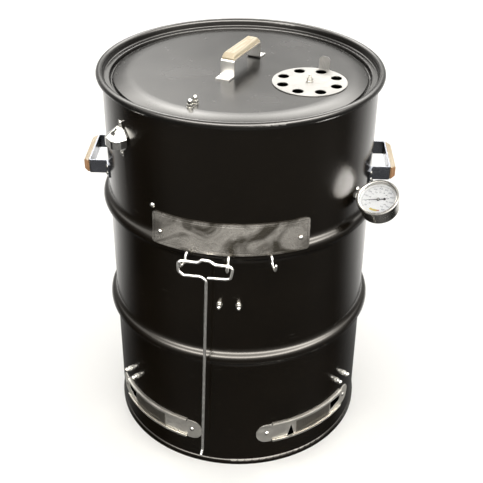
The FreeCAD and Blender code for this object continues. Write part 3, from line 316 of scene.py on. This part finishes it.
def printed(name, colour, roughness=0.45):
    """Flat printing ink or card, with the faint tooth of the sheet below it."""
    ink = Finish(name, colour, roughness)
    tooth = ink.noise(ink.place(), 2600.0, 2.0)
    dark = tuple(c * 0.86 for c in colour)
    ink.drive("Base Color", ink.blend(ink.span(tooth, 0.4, 0.7, 0.0, 1.0), colour, dark))
    ink.bump(tooth, 0.004 * MM)
    return ink.done()


def glass():
    """The dial's pane: almost clear, with a faint sheen and a few fine wipe marks."""
    pane = Finish("dial_glass", (0.34, 0.36, 0.38), 0.03, metallic=1.0)
    pane.set("Alpha", 0.05)
    wipes = pane.noise(pane.place((900.0, 120.0, 900.0), 20.0), 1.0, 3.0)
    pane.drive("Roughness", pane.span(wipes, 0.5, 0.8, 0.02, 0.12))
    return pane.done()


# ---------------------------------------------------------------- finishes for the frame's nodes
ALONG_WALL, ALONG_STRIP = (45.0, 45.0, 1500.0), (60.0, 60.0, 1500.0)
body_paint = body_enamel()
# The lid's paint is a lighter copy of the body's enamel; its lighter base is a painted sheen.
lid_paint = enamel("satin_lid_enamel_with_painted_sheen", LIGHTENED_LID_ENAMEL, 0.25, 1.5, 0.07).done()
handle_steel = brushed("brushed_handle_strip", (0.26, 0.272, 0.305), 0.24, ALONG_STRIP)
lid_handle_steel = brushed("brushed_lid_strip", (0.72, 0.705, 0.675), 0.42, (40.0, 1500.0, 40.0),
                           LID_HANDLE_TURN)
sheet_steel = brushed("brushed_sheet", STEEL, 0.30, (45.0, 45.0, 1400.0))
damper_steel = brushed("brushed_damper", (0.30, 0.293, 0.28), 0.44, (50.0, 1600.0, 50.0), 30.0, 0.14)
shutter_steel = brushed("brushed_shutter", (0.42, 0.39, 0.34), 0.40, ALONG_WALL, tone=0.3)
intake_steel = brushed("brushed_intake", (0.78, 0.755, 0.70), 0.50, ALONG_WALL, tone=0.25)
bright_zinc = plated("bright_zinc", ZINC, 0.20)
wire_zinc = plated("drawn_wire", (0.78, 0.765, 0.73), 0.36)
chrome = plated("chrome_plate", CHROME, 0.10)
gauge_steel = plated("polished_gauge_case", (0.50, 0.485, 0.455), 0.15)
grate_plate = heat_tinted("grate_wire", (0.46, 0.44, 0.41), (0.30, 0.25, 0.20))
basket_steel = heat_tinted("fire_basket", (0.20, 0.19, 0.18), (0.10, 0.11, 0.15))

FINISHES = {
    body_paint: ["drum_shell", "drum_bottom"],
    lid_paint: ["lid_panel"],
    handle_steel: ["left_handle_bracket", "right_handle_bracket"],
    lid_handle_steel: ["lid_handle_bracket", "lid_hook"],
    sheet_steel: ["lower_grate_brackets", "basket_brackets", "thermometer_fitting"],
    intake_steel: ["left_intake_base", "right_intake_base"],
    shutter_steel: ["left_intake_shutter", "right_intake_shutter"],
    damper_steel: ["vent_disc"],
    nameplate_steel(): ["nameplate"],
    bright_zinc: ["nameplate_screws", "nameplate_nuts", "tool_hook_nuts", "side_grip_screws",
                  "side_handle_bolts", "side_handle_nuts", "intake_screws", "intake_nuts",
                  "opener_screws", "opener_nuts", "thermometer_lock_nut", "grate_pegs",
                  "grate_peg_nuts", "bracket_bolts", "bracket_acorn_nuts", "lid_grip_screws",
                  "lid_handle_screws", "lid_handle_nuts", "vent_bolt", "vent_nut",
                  "lid_hook_bolts", "lid_hook_nuts", "basket_bolts", "basket_bolt_nuts"],
    wire_zinc: ["tool_hooks", "lifting_tool"],
    chrome: ["bottle_opener"],
    gauge_steel: ["thermometer_stem", "thermometer_case", "thermometer_bezel"],
    grate_plate: ["cooking_grate", "cooking_grate_handles", "lower_grate"],
    basket_steel: ["charcoal_basket", "basket_handle", "basket_grate"],
    galvanised(): ["ash_pan"],
    glass(): ["thermometer_glass"],
    printed("dial_card", (0.97, 0.98, 0.99)): ["thermometer_dial"],
    printed("needle_black", (0.012, 0.012, 0.013), 0.3): ["thermometer_needle"],
}
for finish, nodes in FINISHES.items():
    for name in nodes:
        for slot in NODES[name].material_slots:
            slot.material = finish


# ---------------------------------------------------------------- pieces made here
def add_piece(name, mesh, material, body):
    """Put a mesh in the scene as a piece that rides on a body."""
    piece = bpy.data.objects.new(name, mesh)
    bpy.context.scene.collection.objects.link(piece)
    mesh.materials.clear()
    mesh.materials.append(material)
    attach(piece, body)
    return piece


def mesh_from(name, shape):
    mesh = bpy.data.meshes.new(name)
    shape.to_mesh(mesh)
    shape.free()
    return mesh


def radial(azimuth):
    """The direction straight out of the drum at an azimuth."""
    a = math.radians(azimuth)
    return Vector((math.sin(a), -math.cos(a), 0.0))


def frame_at(middle, along, outward):
    """A frame at a point: X along the piece, Z outward."""
    turn = Matrix((along, outward.cross(along), outward)).transposed()
    return Matrix.Translation(middle) @ turn.to_4x4()


def skin(shape, loops):
    """Join a row of equal loops into a tube and close both its ends."""
    for first, second in zip(loops, loops[1:]):
        for k in range(len(first)):
            nxt = (k + 1) % len(first)
            shape.faces.new((first[k], first[nxt], second[nxt], second[k]))
    shape.faces.new(loops[0])
    shape.faces.new(loops[-1])
    bmesh.ops.recalc_face_normals(shape, faces=shape.faces)


GRIP_LENGTH, GRIP_WIDTH, GRIP_THICK = 0.125, 0.027, 0.0125
GRIP_SLOPE, GRIP_FOOT, GRIP_CHAMFER, GRIP_EASE = 0.009, 0.004, 0.0035, 0.0009
PLUG_AT = (-0.035, 0.035)
PLUG_R, PLUG_LENGTH, PLUG_PROUD = 0.0044, 0.0005, 0.0003
DISC_SIDES = 32


def grip_mesh(name, place):
    """A wooden grip: sloping ends, chamfered long edges, and every edge eased."""
    shape = bmesh.new()
    low, high = -GRIP_THICK / 2, GRIP_THICK / 2 - PLUG_PROUD
    half, top = GRIP_LENGTH / 2, GRIP_LENGTH / 2 - GRIP_SLOPE
    wide, narrow = GRIP_WIDTH / 2, GRIP_WIDTH / 2 - GRIP_CHAMFER
    stations = [(-half, low + GRIP_FOOT), (-top, high), (top, high), (half, low + GRIP_FOOT)]
    loops = []
    for x, crown in stations:
        brow = crown - GRIP_CHAMFER * (crown - low) / GRIP_THICK
        section = [(-wide, low), (wide, low), (wide, brow),
                   (narrow, crown), (-narrow, crown), (-wide, brow)]
        loops.append([shape.verts.new((x, y, z)) for y, z in section])
    skin(shape, loops)
    bmesh.ops.dissolve_limit(shape, angle_limit=0.01, verts=shape.verts, edges=shape.edges)
    bmesh.ops.bevel(shape, geom=list(shape.edges), offset=GRIP_EASE, segments=3, profile=0.6,
                    affect="EDGES")
    shape.transform(place)
    mesh = mesh_from(name, shape)
    mesh.shade_smooth()
    return mesh


def disc_mesh(name, radius, height, place):
    """A disc with an eased upper edge."""
    shape = bmesh.new()
    levels = ((radius, 0.0), (radius, height * 0.7), (radius - height * 0.3, height))
    turns = [2 * math.pi * k / DISC_SIDES for k in range(DISC_SIDES)]
    loops = [[shape.verts.new((r * math.cos(t), r * math.sin(t), z)) for t in turns] for r, z in levels]
    skin(shape, loops)
    shape.transform(place)
    return mesh_from(name, shape)


def add_grip(node, along, outward, body, material, plug_material):
    """Replace a plain grip with a shaped one and the two plugs over its screws."""
    low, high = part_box(node)
    place = frame_at((low + high) / 2, along, outward)
    grip = add_piece(f"{node}_wood", grip_mesh(f"{node}_wood", place), material, body)
    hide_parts(node)
    for index, x in enumerate(PLUG_AT):
        spot = place @ Matrix.Translation((x, 0.0, GRIP_THICK / 2 - PLUG_LENGTH))
        plug = disc_mesh(f"{node}_plug_{index}", PLUG_R, PLUG_LENGTH, spot)
        add_piece(f"{node}_plug_{index}", plug, plug_material, body)


SIDE_GRIPS = (("left_handle_grip", -88.0), ("right_handle_grip", 92.0))


def add_grips():
    lid_wood = wood("maple_lid_grip", LID_HANDLE_TURN, MAPLE, PALE_END)
    side_wood = wood("maple_side_grip", 0.0, HONEY_MAPLE, HONEY_END)
    plug_wood = wood("maple_plug", 70.0, HONEY_MAPLE, PALE_END)
    turn = math.radians(LID_HANDLE_TURN)
    along = Vector((math.sin(turn), math.cos(turn), 0.0))
    add_grip("lid_handle_grip", along, UP, "lid", lid_wood, plug_wood)
    for node, azimuth in SIDE_GRIPS:
        outward = radial(azimuth)
        add_grip(node, UP.cross(outward), outward, "drum", side_wood, plug_wood)


add_grips()


# ---------------------------------------------------------------- the thermometer's printed scale
def dial_axes():
    """Dial frame at the needle's pivot: X to the reader's right, Y up the dial, Z out of its face."""
    needle = JOINTS["needle_turn"]
    inward = -Vector(JOINTS["thermometer_swivel"]["axis"]).normalized()
    face = Vector(needle["axis"]).normalized()
    up = inward.cross(face)
    turn = Matrix((up.cross(face), up, face)).transposed()
    return Matrix.Translation(Vector(needle["pos_m"])) @ turn.to_4x4()


# Lengths on the dial, out from the needle's pivot, and widths as shares of the whole scale.
PRINT_Z, CAP_Z = 8.25 * MM, 10.85 * MM
SCALE_START, SCALE_SWEEP = 225.0, 270.0
SCALE_STEPS, NUMBERS_EVERY = 55, 5
SCALE_R, SCALE_LINE = 33.5 * MM, 0.25 * MM
MAJOR_TICK, MINOR_TICK = (2.6 * MM, 0.0022), (1.5 * MM, 0.0013)
INNER_R, INNER_TICK = 22.5 * MM, (1.0 * MM, 0.003)
PALE_NUMBERS = dict(radius=27.2 * MM, size=5.0 * MM, start=50, gap=50)
DARK_NUMBERS = dict(radius=18.5 * MM, size=3.7 * MM, start=10, gap=28)
PALE_INK, DARK_INK = (0.11, 0.12, 0.19), (0.05, 0.06, 0.10)
MARK_R = 28.0 * MM
MARKS = (("dial_warm_mark", 1.10, 1.23, 23.6 * MM, (0.72, 0.58, 0.16)),
         ("dial_hot_mark", 1.06, 1.10, 24.6 * MM, (0.60, 0.30, 0.22)))
CAP_R, CAP_HEIGHT = 2.0 * MM, 0.5 * MM
STEPS_PER_SCALE = 90


def scale_angle(share):
    """Angle round the dial, from its right-hand side, of a share of the full scale."""
    return math.radians(SCALE_START - SCALE_SWEEP * share)


def band(shape, r_in, r_out, start, end):
    """A flat sector of the dial between two shares of the scale."""
    steps = max(2, int(abs(end - start) * STEPS_PER_SCALE))
    rows = []
    for k in range(steps + 1):
        t = scale_angle(start + (end - start) * k / steps)
        rows.append([shape.verts.new((r * math.cos(t), r * math.sin(t), PRINT_Z)) for r in (r_in, r_out)])
    for (a, b), (c, d) in zip(rows, rows[1:]):
        shape.faces.new((a, b, d, c))


def tick(shape, radius, form, share):
    """A tick that ends at a radius, of one form: its length and half its width."""
    length, half = form
    band(shape, radius - length, radius, share - half, share + half)


def scale_shape():
    """Two concentric scales: fine ticks outside, and a short coarse set inside."""
    shape = bmesh.new()
    band(shape, SCALE_R, SCALE_R + SCALE_LINE, 0.0, 1.0)
    for step in range(SCALE_STEPS + 1):
        tick(shape, SCALE_R, MINOR_TICK if step % NUMBERS_EVERY else MAJOR_TICK, step / SCALE_STEPS)
    for step in range(0, SCALE_STEPS + 1, NUMBERS_EVERY):
        tick(shape, INNER_R, INNER_TICK, step / SCALE_STEPS)
    return shape


def number_mesh(text, size, place):
    """A small number, as a flat mesh."""
    curve = bpy.data.curves.new("number", "FONT")
    curve.body = text
    curve.size = size
    curve.align_x = curve.align_y = "CENTER"
    curve.resolution_u = 3
    holder = bpy.data.objects.new("number", curve)
    mesh = bpy.data.meshes.new_from_object(holder)
    bpy.data.objects.remove(holder)
    bpy.data.curves.remove(curve)
    mesh.transform(place)
    return mesh


def add_numbers(shape, radius, size, start, gap):
    """Numbers round the dial, upright to its reader."""
    for index in range(0, SCALE_STEPS // NUMBERS_EVERY + 1):
        t = scale_angle(index * NUMBERS_EVERY / SCALE_STEPS)
        spot = Matrix.Translation((radius * math.cos(t), radius * math.sin(t), PRINT_Z))
        number = number_mesh(str(start + index * gap), size, spot)
        shape.from_mesh(number)
        bpy.data.meshes.remove(number)


def add_print(name, shape, colour, place):
    """A flat shape printed on the dial."""
    shape.transform(place)
    add_piece(name, mesh_from(name, shape), printed(f"{name}_ink", colour), "thermometer")


def add_dial():
    place = dial_axes()
    pale, dark = bmesh.new(), scale_shape()
    add_numbers(pale, **PALE_NUMBERS)
    add_numbers(dark, **DARK_NUMBERS)
    add_print("dial_numbers", pale, PALE_INK, place)
    add_print("dial_scale", dark, DARK_INK, place)
    for name, start, end, r_in, colour in MARKS:
        mark = bmesh.new()
        band(mark, r_in, MARK_R, start, end)
        add_print(name, mark, colour, place)
    cap = disc_mesh("needle_cap", CAP_R, CAP_HEIGHT, place @ Matrix.Translation((0, 0, CAP_Z)))
    add_piece("needle_cap", cap, chrome, "needle")


add_dial()


# ---------------------------------------------------------------- studio
# DOME is what matt surfaces see. A pair in FRONT_LEVELS or REAR_LEVELS is a height, from -1 down to 1 up,
# and its brightness. A pair in ACROSS_LEVELS is a side, from -1 left to 1 right, and a gain on the rear.
SKY_COLOUR = (1.0, 0.985, 0.955)
DOME = 1.45
BRIGHTEST = 25.0
FRONT_LEVELS = ((-1.0, 0.30), (-0.70, 0.10), (-0.60, 0.12), (-0.45, 0.22), (-0.20, 0.25), (0.0, 0.6),
                (0.12, 1.0), (0.30, 1.8), (0.45, 3.0), (0.53, 6.0), (0.61, 16.0), (0.68, 24.0),
                (0.77, 24.0), (0.88, 9.0), (1.0, 4.0))
REAR_LEVELS = ((-1.0, 0.10), (-0.66, 0.10), (-0.60, 0.15), (-0.56, 0.6), (-0.51, 1.2), (-0.40, 1.1),
               (-0.20, 0.9), (0.0, 0.5), (0.30, 0.5), (0.42, 1.2), (0.48, 2.5), (0.53, 4.5),
               (0.60, 7.5), (0.75, 6.0), (0.90, 4.0), (1.0, 3.5))
ACROSS_LEVELS = ((-1.0, 1.3), (-0.30, 1.3), (-0.22, 2.2), (-0.16, 2.1), (-0.06, 1.0), (0.06, 1.5),
                 (0.12, 1.65), (0.30, 1.3), (1.0, 1.3))
# Along +Y less RIGHTWARD of X, the front bands are full up to FRONT_FULL and at FRONT_REST from FRONT_TO.
# Along +Y, the rear bands take over between REAR_FROM and REAR_FULL.
FRONT_FULL, FRONT_TO, FRONT_REST = -0.45, 0.15, 0.12
RIGHTWARD = 0.3
REAR_FROM, REAR_FULL = 0.12, 0.84


def studio_world():
    """A plain dome for matt surfaces. Glossy ones see bands of light, one set in front and one behind."""
    world = bpy.data.worlds.new("studio")
    bpy.context.scene.world = world
    world.use_nodes = True
    tree = world.node_tree

    def node(kind, inputs, **settings):
        made = tree.nodes.new(kind)
        for key, value in settings.items():
            setattr(made, key, value)
        for key, value in inputs.items():
            if isinstance(value, bpy.types.NodeSocket):
                tree.links.new(value, made.inputs[key])
            else:
                made.inputs[key].default_value = value
        return made

    def levels(height, points):
        """Brightness by height: -1 straight down, 0 the horizon, 1 straight up."""
        made = node("ShaderNodeFloatCurve", {"Value": height})
        curve = made.mapping.curves[0]
        curve.points[0].location = (0.0, points[0][1] / BRIGHTEST)
        curve.points[1].location = (1.0, points[-1][1] / BRIGHTEST)
        for z, level in points[1:-1]:
            curve.points.new((z + 1) / 2, level / BRIGHTEST)
        for point in curve.points:
            point.handle_type = "VECTOR"
        made.mapping.update()
        return made.outputs["Value"]

    def unit(value):
        """A share from -1 to 1 as one from 0 to 1."""
        made = node("ShaderNodeMapRange", {"Value": value, "From Min": -1.0, "From Max": 1.0})
        return made.outputs["Result"]

    def ramp(value, start, end, at_start, at_end):
        ends = {"Value": value, "From Min": start, "From Max": end, "To Min": at_start, "To Max": at_end}
        made = node("ShaderNodeMapRange", ends, interpolation_type="SMOOTHSTEP")
        return made.outputs["Result"]

    def times(first, second):
        return node("ShaderNodeMath", {0: first, 1: second}, operation="MULTIPLY").outputs[0]

    direction = node("ShaderNodeTexCoord", {}).outputs["Generated"]
    parts = node("ShaderNodeSeparateXYZ", {0: direction}).outputs
    height = unit(parts[2])
    swung = node("ShaderNodeMath", {0: parts[1], 1: times(parts[0], RIGHTWARD)}, operation="SUBTRACT")
    fade = ramp(swung.outputs[0], FRONT_FULL, FRONT_TO, 1.0, FRONT_REST)
    front = times(levels(height, FRONT_LEVELS), fade)
    rear = times(levels(height, REAR_LEVELS), times(levels(unit(parts[0]), ACROSS_LEVELS), BRIGHTEST))
    glossy = node("ShaderNodeMix", {0: ramp(parts[1], REAR_FROM, REAR_FULL, 0.0, 1.0), 2: front, 3: rear})
    glossy = node("ShaderNodeMath", {0: glossy.outputs[0], 1: BRIGHTEST}, operation="MULTIPLY")
    path = node("ShaderNodeLightPath", {})
    level = node("ShaderNodeMix", {0: path.outputs["Is Glossy Ray"], 2: DOME, 3: glossy.outputs[0]})
    sky = tree.nodes["Background"]
    sky.inputs["Color"].default_value = (*SKY_COLOUR, 1.0)
    tree.links.new(level.outputs[0], sky.inputs["Strength"])


FLOOR_HALF, FLOOR_TONE, FLOOR_LIGHT = 8.0, (0.88, 0.88, 0.87), (0.90, 0.90, 0.89)


def add_floor():
    """A wide pale floor, which glossy surfaces don't see."""
    shape = bmesh.new()
    bmesh.ops.create_grid(shape, x_segments=1, y_segments=1, size=FLOOR_HALF)
    floor = bpy.data.objects.new("floor", mesh_from("floor", shape))
    bpy.context.scene.collection.objects.link(floor)
    pale = Finish("pale_floor", FLOOR_TONE, 0.9)
    pale.set("Specular IOR Level", 0.1)
    grain = pale.noise(pale.place(), 3.0, 2.0)
    pale.drive("Base Color", pale.blend(grain, FLOOR_TONE, FLOOR_LIGHT))
    floor.data.materials.append(pale.done())
    floor.visible_glossy = False


LAMP_SIZE, LAMP_POWER, LAMP_COLOUR, LAMP_ABOVE = 0.070, 0.058, (1.0, 0.97, 0.93), 0.017


def add_dial_lamp():
    """A round lamp over the dial, facing it. The enamel beside the dial shows the lamp's reflection."""
    lamp = bpy.data.lights.new("dial_lamp", "AREA")
    lamp.shape = "DISK"
    lamp.size, lamp.energy, lamp.color = LAMP_SIZE, LAMP_POWER, LAMP_COLOUR
    holder = bpy.data.objects.new("dial_lamp", lamp)
    bpy.context.scene.collection.objects.link(holder)
    above = dial_axes() @ Matrix.Translation((0, 0, LAMP_ABOVE))
    holder.matrix_world = above @ Matrix.Rotation(math.pi, 4, "X")
    holder.visible_camera = False


CAMERA_AT = (0.1232, -1.7843, 1.5374)
CAMERA_YAW, CAMERA_DOWN, CAMERA_ROLL = -3.791, 31.952, 0.586
CAMERA_LENS, CAMERA_SENSOR, CAMERA_NEAR = 67.635, 36.0, 0.05


def add_camera():
    """The camera stands a little right of the front and looks down on the lid."""
    yaw, pitch, roll = map(math.radians, (CAMERA_YAW, CAMERA_DOWN, CAMERA_ROLL))
    ahead = Vector((math.sin(yaw) * math.cos(pitch), math.cos(yaw) * math.cos(pitch), -math.sin(pitch)))
    level = Vector((math.cos(yaw), -math.sin(yaw), 0.0))
    above = level.cross(ahead)
    right = level * math.cos(roll) + above * math.sin(roll)
    up = above * math.cos(roll) - level * math.sin(roll)
    turn = Matrix((right, up, -ahead)).transposed()
    camera = bpy.data.objects.new("camera", bpy.data.cameras.new("camera"))
    bpy.context.scene.collection.objects.link(camera)
    camera.data.lens, camera.data.sensor_width = CAMERA_LENS, CAMERA_SENSOR
    camera.data.clip_start = CAMERA_NEAR
    camera.matrix_world = Matrix.Translation(CAMERA_AT) @ turn.to_4x4()
    bpy.context.scene.camera = camera


studio_world()
add_floor()
add_dial_lamp()
add_camera()
bpy.context.scene.view_settings.view_transform = "Standard"
